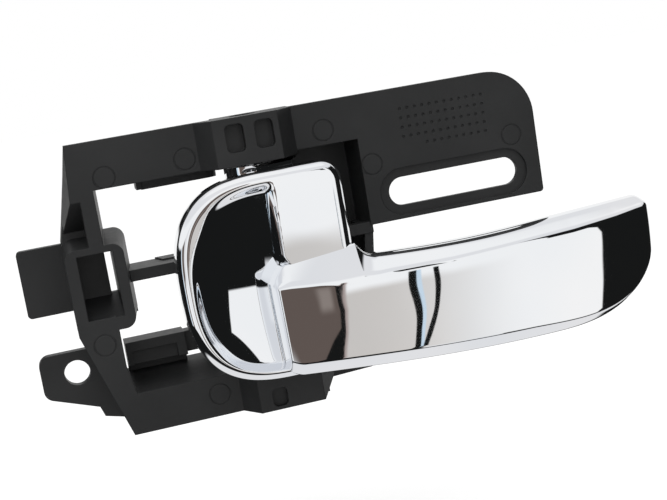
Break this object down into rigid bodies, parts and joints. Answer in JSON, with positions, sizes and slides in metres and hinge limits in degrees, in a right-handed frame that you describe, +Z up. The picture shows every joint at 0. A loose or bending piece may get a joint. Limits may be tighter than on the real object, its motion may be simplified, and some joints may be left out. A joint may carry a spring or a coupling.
{
  "type": "car interior door handle",
  "caption": "Black moulded door-handle bracket with a slotted mounting plate and a bright plated lever that swings on an upright hinge pin.",
  "frame": {"origin": "centre of the round fixing hole, on the tab's rear face, which lies on the mounting plane", "axes": "+X along the lever towards its tip, +Z up, -Y out of the door towards the hand; the front face of the bracket looks along -Y"},
  "size_m": [0.1667, 0.0471, 0.079],
  "materials": {
    "black_plastic": "fine-grained black moulding",
    "plated_lever": "plastic moulding with bright mirror-like metal plating",
    "pin_steel": "plain turned steel",
    "spring_steel": "drawn spring wire",
    "rubber": "soft black rubber"
  },
  "bodies": {
    "frame_body": {"bracket": "black_plastic", "pivot_pin": "pin_steel", "return_spring": "spring_steel", "stop_buffer": "rubber"},
    "lever_body": {"lever": "plated_lever"}
  },
  "joints": [
    {"name": "lever_hinge", "type": "hinge", "parent": "frame_body", "child": "lever_body", "pos_m": [0.055, -0.02, 0.022], "axis": [0, 0, -1], "range_deg": [0, 30], "stiffness_Nm_per_rad": 0.15, "springref_deg": -28.65, "deforming": ["return_spring"]}
  ]
}
